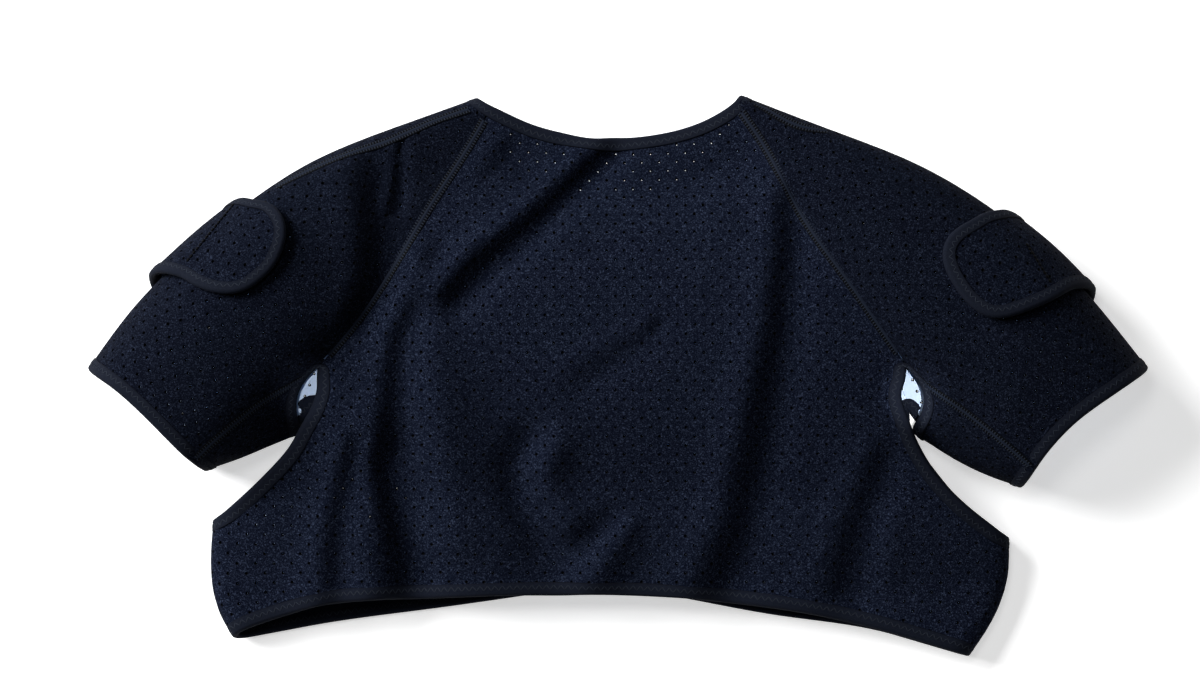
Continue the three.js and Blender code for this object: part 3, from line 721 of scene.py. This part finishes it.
free_runs = []
seam_paths = {}
for name in panels:
    for loop in cloths[name].loops:
        met = [neighbour(name, loop, place) for place in range(len(loop))]
        for other, places in runs_of([panel for panel, _ in met]):
            path = stations([loop[place] for place in places])
            if len(path) < SHORTEST_RUN:
                continue
            if other is None:
                free_runs.append(path)
            elif panels.index(other) >= panels.index(name):
                middles = []
                for at, place in zip(path, places):
                    middles.append(at._replace(point=at.point.lerp(met[place][1], 0.5)))
                if other != name or (name, other) not in seam_paths:
                    seam_paths.setdefault((name, other), []).append(middles)


JUST_BEFORE_END = 0.999999


def evened(path, step, closed=False, reach=0.0):
    """The path with its stations a step apart, measured at a reach inside the edge."""
    rows = path + path[:1] if closed else path
    places = [row.point + row.inward * reach for row in rows]
    lengths = [0]
    for before, after in zip(places, places[1:]):
        lengths.append(lengths[-1] + (after - before).length)
    count = round(lengths[-1] / step)
    result = []
    at = 0
    for number in range(count if closed else count + 1):
        distance = min(lengths[-1] * number / count, lengths[-1] * JUST_BEFORE_END)
        while lengths[at + 1] <= distance:
            at += 1
        share = (distance - lengths[at]) / (lengths[at + 1] - lengths[at])
        point, inward, normal = (a.lerp(b, share) for a, b in zip(rows[at], rows[at + 1]))
        inward.normalize()
        normal = (normal - inward * normal.dot(inward)).normalized()
        result.append(Station(point, inward, normal))
    return result


def eased(path, rounds, closed=False):
    """The path with small kinks smoothed out."""
    for _ in range(rounds):
        before = path[-1:] + path[:-1]
        after = path[1:] + path[:1]
        mixed = []
        for near in zip(before, path, after):
            mixed.append(Station(*[(2 * m + b + a) / 4 for b, m, a in zip(*near)]))
        path = mixed if closed else [path[0]] + mixed[1:-1] + [path[-1]]
    return path


def spot(place, inward, up):
    """A point beside a station: so far into the cloth, so far up from its face."""
    return place.point + place.inward * inward + place.normal * up


def swept(path, section, closed=False):
    """A strip that follows the path, with a UV map in metres across and along it."""
    rows = path + path[:1] if closed else path
    mesh = bmesh.new()
    bmesh.ops.create_grid(mesh, x_segments=len(section) - 1, y_segments=len(rows) - 1, size=0.5)
    across = [0]
    for (a, b), (c, d) in zip(section, section[1:]):
        across.append(across[-1] + math.hypot(c - a, d - b))
    along = [0]
    for before, after in zip(rows, rows[1:]):
        along.append(along[-1] + (after.point - before.point).length)
    layer = mesh.loops.layers.uv.new("UVMap")
    cells = {}
    for vert in mesh.verts:
        column = round((vert.co.x + 0.5) * (len(section) - 1))
        row = round((vert.co.y + 0.5) * (len(rows) - 1))
        cells[vert] = (column, row)
    for face in mesh.faces:
        for corner in face.loops:
            column, row = cells[corner.vert]
            corner[layer].uv = (across[column], along[row])
    for vert, (column, row) in cells.items():
        vert.co = spot(rows[row], *section[column])
    mesh.normal_update()
    facing = 0
    for face in mesh.faces:
        if max(cells[vert][0] for vert in face.verts) < len(section) / 2:
            row = cells[face.verts[0]][1]
            facing += face.normal.dot(rows[row].normal)
    if facing < 0:
        bmesh.ops.reverse_faces(mesh, faces=mesh.faces)
    if closed:
        bmesh.ops.remove_doubles(mesh, verts=mesh.verts, dist=WELD)
    return mesh


Stitch = namedtuple("Stitch", "start end up")


def sewn(stitches, thread=THREAD):
    """Stitches of thread, each drawn in at both ends, all in one mesh."""
    bead = bmesh.new()
    bmesh.ops.create_uvsphere(bead, u_segments=6, v_segments=4, radius=1)
    corners = [vert.co.copy() for vert in bead.verts]
    sides = [[vert.index for vert in face.verts] for face in bead.faces]
    points, faces = [], []
    for stitch in stitches:
        half = (stitch.end - stitch.start) / 2
        side = half.cross(stitch.up).normalized() * thread
        axes = Matrix((side, stitch.up * thread * THREAD_FLATNESS, half)).transposed()
        faces += [[len(points) + corner for corner in face] for face in sides]
        points += [axes @ corner + (stitch.start + stitch.end) / 2 for corner in corners]
    row = bpy.data.meshes.new("stitches")
    row.from_pydata(points, [], faces)
    mesh = bmesh.new()
    mesh.from_mesh(row)
    bmesh.ops.recalc_face_normals(mesh, faces=mesh.faces)
    bpy.data.meshes.remove(row)
    return mesh


def thread_finish(name, dark, bright):
    """Twisted thread, with random paler and darker patches along it: painted highlight and shade of
    its plies.
    """
    material, shader, start = finish(name, bright, roughness=0.7, Specular_IOR_Level=0.04)
    place = start.node("ShaderNodeTexCoord", {}, {}, "Object")
    # Painted highlight and shade along the thread.
    twist_shading = noise(start, place, TWISTS_PER_METRE, detail=1)
    drive(shader, "Base Color", twist_shading.between(dark, bright))
    return material


seam_thread = thread_finish("seam_thread", THREAD_DARK, THREAD_BRIGHT)


def cover_finish():
    """The seam's cover: a smooth pale rib in the middle, dark on both sides under the ladders."""
    material, shader, start = finish("seam_cover", SEAM_DARK, roughness=0.7,
                                     Specular_IOR_Level=0.04)
    strip = start.node("ShaderNodeTexCoord", {}, {}, "UV")
    across = start.node("ShaderNodeSeparateXYZ", {}, {"Vector": strip}, "X")
    middle = 1 - start.math("ABSOLUTE", across - COVER_WIDTH / 2) * (1 / RIB_WIDTH)
    rib = start.math("MAXIMUM", middle, 0.0)
    tone = start.math("MINIMUM", rib * RIB_CRISPNESS, 1.0)
    drive(shader, "Base Color", tone.between(SEAM_DARK, SEAM_BRIGHT))
    return material


seam_cover = cover_finish()


def sew_flat(name, path):
    """A flat seam: the cover over the join, and its two ladders of stitches."""
    path = eased(evened(path, LADDER_STEP), EASING_ROUNDS)[SEAM_END:-SEAM_END]
    cover = piece(name + "_cover", swept(path, COVER_SECTION), [seam_cover], COVER_WALL)
    ladder = []
    for place in path:
        for side in (-1, 1):
            near, far = (spot(place, side * reach, LADDER_TOP) for reach in LADDER_REACH)
            ladder.append(Stitch(near, far, place.normal))
    ladders = piece(name + "_ladder", sewn(ladder), [seam_thread])


for (name, other), paths in seam_paths.items():
    for number, path in enumerate(paths):
        sew_flat(f"{name}_to_{other}_seam_{number + 1}", path)

# The shoulder seams. A flat seam, sewn like the others, runs along the top of each sleeve from
# the neck. Only what shows from above is made: the left one almost to the strap, and the right
# one until it slips over the edge. The line of each is in plan.
TOP_SEAMS = {
    "sleeve_left": [(-0.0860, 0.1594), (-0.0970, 0.1557), (-0.1092, 0.1515), (-0.1208, 0.1462),
                    (-0.1380, 0.1385), (-0.1562, 0.1328), (-0.1676, 0.1288), (-0.1791, 0.1237),
                    (-0.1905, 0.1184), (-0.2019, 0.1126), (-0.2060, 0.1102)],
    "sleeve_right": [(0.0790, 0.1632), (0.0860, 0.1600), (0.0950, 0.1545), (0.1030, 0.1500),
                     (0.1110, 0.1472), (0.1190, 0.1460), (0.1275, 0.1447)],
}


def laid_on(cloth, plan):
    """Stations on a cloth's upper face, dropped on it from a metre above a line in plan."""
    tree = BVHTree.FromBMesh(cloth.mesh)
    down = Vector((0, 0, -1))
    feet = [tree.ray_cast(Vector((x, y, 1)), down)[:2] for x, y in plan]
    feet = [(point, normal) for point, normal in feet if point]
    before = feet[:1] + feet[:-1]
    after = feet[1:] + feet[-1:]
    path = []
    for (back, _), (point, normal), (ahead, _) in zip(before, feet, after):
        path.append(Station(point, normal.cross(ahead - back).normalized(), normal))
    return path


DRAWN_STEP = 1.0e-3


def drawn(corners):
    """Points a step apart along a line with corners."""
    points = []
    for start, end in zip(corners, corners[1:]):
        start, end = Vector(start), Vector(end)
        count = math.ceil((end - start).length / DRAWN_STEP)
        points += [start.lerp(end, number / count) for number in range(count)]
    return points + [Vector(corners[-1])]


for name, corners in TOP_SEAMS.items():
    sew_flat(name + "_top_seam", laid_on(cloths[name], drawn(corners)))

# The strap stitching. A row of plain dark stitches across each strap, sewn through it, holds the
# fastening pad beneath, and lies in the shallow groove that it draws in the knit. Its thread is
# thick and almost black, partly its own colour and partly painted shade of that groove.
PAD_ROWS = {
    "arm_strap_left": [(-0.2282, 0.1015), (-0.2400, 0.0865), (-0.2480, 0.0765), (-0.2555, 0.0670)],
    "arm_strap_right": [(0.2415, 0.0780), (0.2555, 0.0545)],
}
PAD_STITCH = 3.0e-3
PAD_STITCH_SHOWN = 0.95
PAD_THREAD = 0.85e-3
# Almost black: partly the thread's own colour, partly painted shade of the groove.
PAD_DARK = (0.0003, 0.0004, 0.0006, 1)
PAD_BRIGHT = (0.0012, 0.0015, 0.0024, 1)
pad_thread_groove_shade = thread_finish("pad_thread_groove_shade", PAD_DARK, PAD_BRIGHT)

for name, corners in PAD_ROWS.items():
    row = evened(laid_on(cloths[name], drawn(corners)), PAD_STITCH)
    tops = [spot(place, 0, PAD_THREAD / 2) for place in row]
    stitches = []
    for here, there, place in zip(tops, tops[1:], row):
        stitches.append(Stitch(here, here.lerp(there, PAD_STITCH_SHOWN), place.normal))
    sewing = piece(name + "_pad_row", sewn(stitches, PAD_THREAD), [pad_thread_groove_shade])

# The bindings. Every free edge is wrapped in a folded ribbed tape, which is sewn through
# both legs with one row of zigzag.
# How far each tape reaches in from the edge, on the knit and on the lining.
TapeReach = namedtuple("TapeReach", "outside inside")
TAPE_REACHES = {
    "strap_binding_left": TapeReach(5.6e-3, 5.6e-3),
    "strap_binding_right": TapeReach(6.3e-3, 6.3e-3),
    "hem_binding": TapeReach(6.8e-3, 10.8e-3),
    "underarm_binding_left": TapeReach(6.8e-3, 10.0e-3),
}
PLAIN_REACH = TapeReach(6.8e-3, 6.8e-3)
TAPE_TOP = 0.85e-3
TAPE_WALL = 0.7e-3
# The tape's steps are measured along its middle, so far in from the edge.
TAPE_STEP = 2.2e-3
TAPE_MIDDLE = 4e-3
ZIGZAG_TOP = 0.8e-3
ZIGZAG_THREAD = 0.3e-3
# Where the zigzag turns, as shares of the outer leg.
ZIGZAG = (0.34, 0.76)
TAPE_DARK = (0.0013, 0.0017, 0.0032, 1)
TAPE_BRIGHT = (0.0098, 0.0128, 0.0230, 1)
TAPE_THREAD_DARK = (0.005, 0.0063, 0.010, 1)
TAPE_THREAD_BRIGHT = (0.027, 0.033, 0.047, 1)
TAPE_RIB = 0.9e-3
TAPE_RIB_DEPTH = 1.2e-4
LINT_PER_METRE = 1300
# How far in from its inner edge the tape's painted shade reaches.
EDGE_SHADE_WIDTH = 1.3e-3
TIP_ANGLE = math.radians(50)
TIP_STEPS = 6
# Points that are left out on each side where a tape runs straight across a flat seam.
SEAM_POINTS = 5
# A strap's edge is taped where it lies this near to the solid of its tape.
BOUND = 3e-3


def tape_finish():
    """Ribbed tape: fine slanting ribs along its length, with painted shade darkening it towards its
    inner edge, where it meets the cloth.
    """
    material, shader, start = finish("ribbed_tape", TAPE_BRIGHT, roughness=0.85,
                                     Specular_IOR_Level=0.04)
    strip = start.node("ShaderNodeTexCoord", {}, {}, "UV")
    across = start.node("ShaderNodeSeparateXYZ", {}, {"Vector": strip}, "X")
    along = start.node("ShaderNodeSeparateXYZ", {}, {"Vector": strip}, "Y")
    rib = start.math("SINE", (across + along) * (2 * math.pi / TAPE_RIB)) * 0.5 + 0.5
    place = start.node("ShaderNodeTexCoord", {}, {}, "Object")
    lint = noise(start, place, LINT_PER_METRE, detail=2)
    # Painted shade: darker towards the tape's inner edge.
    edge_shade = start.math("MINIMUM", across * (1 / EDGE_SHADE_WIDTH), 1.0)
    tone = (rib + lint) * 0.5 * edge_shade
    drive(shader, "Base Color", tone.between(TAPE_DARK, TAPE_BRIGHT))
    bumped(start, shader, rib, strength=0.6, depth=TAPE_RIB_DEPTH)
    return material


ribbed_tape = tape_finish()
tape_thread = thread_finish("tape_thread", TAPE_THREAD_DARK, TAPE_THREAD_BRIGHT)


def tape_section(reach):
    """The section of a tape, as ways inward and up from the cloth's edge: along its outer leg,
    round the edge, and along its inner leg."""
    outside, inside = reach
    under = -CLOTH - TAPE_TOP
    outer = [
        (outside, 0.05e-3),
        (outside - 0.2e-3, TAPE_TOP - 0.2e-3),
        (outside - 0.9e-3, TAPE_TOP),
        (outside / 2, TAPE_TOP - 0.15e-3),
        (0.9e-3, TAPE_TOP),
    ]
    fold = [
        (-0.4e-3, 0.5e-3),
        (-1.2e-3, -0.6e-3),
        (-1.5e-3, -CLOTH / 2),
        (-1.2e-3, -CLOTH + 0.6e-3),
        (-0.4e-3, -CLOTH - 0.5e-3),
    ]
    inner = [
        (0.9e-3, under),
        (inside / 2, under + 0.15e-3),
        (inside - 0.9e-3, under),
        (inside - 0.2e-3, under + 0.2e-3),
        (inside, -CLOTH - 0.05e-3),
    ]
    return outer + fold + inner


def round_tip(before, last, following, after):
    """Stations that turn the tape round a sharp tip, where it runs out along the join and back."""
    leaving = (last.point - before.point).normalized()
    coming = (following.point - after.point).normalized()
    outward = (leaving + coming).normalized()
    turned = []
    for start, end in ((last.inward, outward), (outward, following.inward)):
        turned += [start.slerp(end, (step + 0.5) / TIP_STEPS) for step in range(TIP_STEPS)]
    tip = []
    for number, inward in enumerate(turned):
        share = (number + 1) / (len(turned) + 1)
        point = last.point.lerp(following.point, share)
        tip.append(Station(point, inward, last.normal.lerp(following.normal, share)))
    return tip


def carried_on(path, run):
    """A path that goes on along another run: round a sharp tip, or straight across a flat seam."""
    last, following = path[:-SEAM_POINTS], run[SEAM_POINTS:]
    if last[-1].inward.angle(following[0].inward) < TIP_ANGLE:
        return last + following
    return path + round_tip(path[-2], path[-1], run[0], run[1]) + run


def joined(runs):
    """Runs of free edge, put end to end into one closed path."""
    path = list(runs[0])
    left = list(runs[1:])
    while left:
        ways = [way for run in left for way in (run, run[::-1])]
        best = min(ways, key=lambda way: (way[0].point - path[-1].point).length)
        left = [run for run in left if run is not best and run[::-1] != best]
        path = carried_on(path, best)
    half = len(path) // 2
    return carried_on(path[half:], path[:half])


def bind(node, path, closed):
    """Tapes an edge, and sews the tape on."""
    reach = TAPE_REACHES.get(node, PLAIN_REACH)
    path = eased(evened(path, TAPE_STEP, closed, TAPE_MIDDLE), EASING_ROUNDS, closed)
    strip = swept(path, tape_section(reach), closed)
    tape = piece(node + "_tape", strip, [ribbed_tape], TAPE_WALL)
    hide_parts(node)
    zigzag = []
    turns = path + path[:1] if closed else path
    for number, (here, there) in enumerate(zip(turns, turns[1:])):
        start, end = (reach.outside * ZIGZAG[(number + turn) % 2] for turn in (0, 1))
        for height in (ZIGZAG_TOP, -CLOTH - ZIGZAG_TOP):
            near, far = spot(here, start, height), spot(there, end, height)
            zigzag.append(Stitch(near, far, here.normal))
    sewing = piece(node + "_zigzag", sewn(zigzag, ZIGZAG_THREAD), [tape_thread])


def nearest_tape(point, nodes):
    """Which binding's solid is nearest to a point, and how far off."""
    return min((tapes[node].find_nearest(point)[3], node) for node in nodes)


def solid_tree(node):
    """A search tree of a CAD node's surface."""
    solid = bmesh.new()
    solid.from_mesh(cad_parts[node].data)
    return BVHTree.FromBMesh(solid)


tapes = {node: solid_tree(node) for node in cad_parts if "binding" in node}
edge_tapes = [node for node in tapes if not node.startswith("strap")]
bound_runs = {}
for run in free_runs:
    middle = run[len(run) // 2].point
    bound_runs.setdefault(nearest_tape(middle, edge_tapes)[1], []).append(run)
for node, runs in bound_runs.items():
    bind(node, joined(runs), closed=True)
for hand in ("left", "right"):
    node = "strap_binding_" + hand
    strap = cloths["arm_strap_" + hand]
    loop = strap.loops[0]
    taped = [nearest_tape(strap.on_solid[vert.index], [node])[0] < BOUND for vert in loop]
    edge = max((places for is_taped, places in runs_of(taped) if is_taped), key=len)
    bind(node, stations([loop[place] for place in edge]), closed=False)

# The table and the studio. A plain white table that glows a little, under one broad soft light
# from the upper left, with weak ones above and in front and a dim white room. A small spot over
# each armhole shows the lining inside.
TABLE_SIZE = 3.0
TABLE_WHITE = (0.9, 0.9, 0.9, 1)
TABLE_GLOW = 0.62
ROOM_WHITE = (1, 1, 1, 1)
ROOM_GLOW = 0.022

table_mesh = bmesh.new()
bmesh.ops.create_grid(table_mesh, x_segments=1, y_segments=1, size=TABLE_SIZE)
table_data = bpy.data.meshes.new("table")
table_mesh.to_mesh(table_data)
table_white = finish("white_table", TABLE_WHITE, roughness=0.9, Emission_Color=TABLE_WHITE,
                     Emission_Strength=TABLE_GLOW)[0]
table_data.materials.append(table_white)
table = bpy.data.objects.new("table", table_data)
bpy.context.scene.collection.objects.link(table)


def soft_light(name, place, size, power):
    """A square soft light that faces the warmer."""
    light = bpy.data.lights.new(name, "AREA")
    light.size = size
    light.energy = power
    lamp = bpy.data.objects.new(name, light)
    lamp.location = place
    lamp.rotation_mode = "QUATERNION"
    lamp.rotation_quaternion = Vector(place).to_track_quat("Z", "Y")
    bpy.context.scene.collection.objects.link(lamp)


def small_spot(name, over, height, width, power):
    """A small soft spot, straight above a place, that reaches down into an armhole."""
    light = bpy.data.lights.new(name, "SPOT")
    light.spot_size = 2 * math.atan(width / 2 / height)
    light.spot_blend = 1
    light.energy = power
    lamp = bpy.data.objects.new(name, light)
    lamp.location = (*over, height)
    bpy.context.scene.collection.objects.link(lamp)


soft_light("key_light", place=(-3.7, 2.2, 2.6), size=3.0, power=550)
soft_light("top_light", place=(-0.4, 0.9, 3.4), size=0.7, power=16)
soft_light("front_light", place=(0.6, -1.8, 1.0), size=1.2, power=3.5)
small_spot("left_armhole_spot", over=(-0.185, -0.008), height=1.2, width=0.05, power=34)
small_spot("right_armhole_spot", over=(0.176, -0.012), height=1.2, width=0.05, power=80)
room = bpy.data.worlds.new("room")
room.use_nodes = True
background = room.node_tree.nodes["Background"]
background.inputs["Color"].default_value = ROOM_WHITE
background.inputs["Strength"].default_value = ROOM_GLOW
bpy.context.scene.world = room
bpy.context.scene.view_settings.view_transform = "Standard"
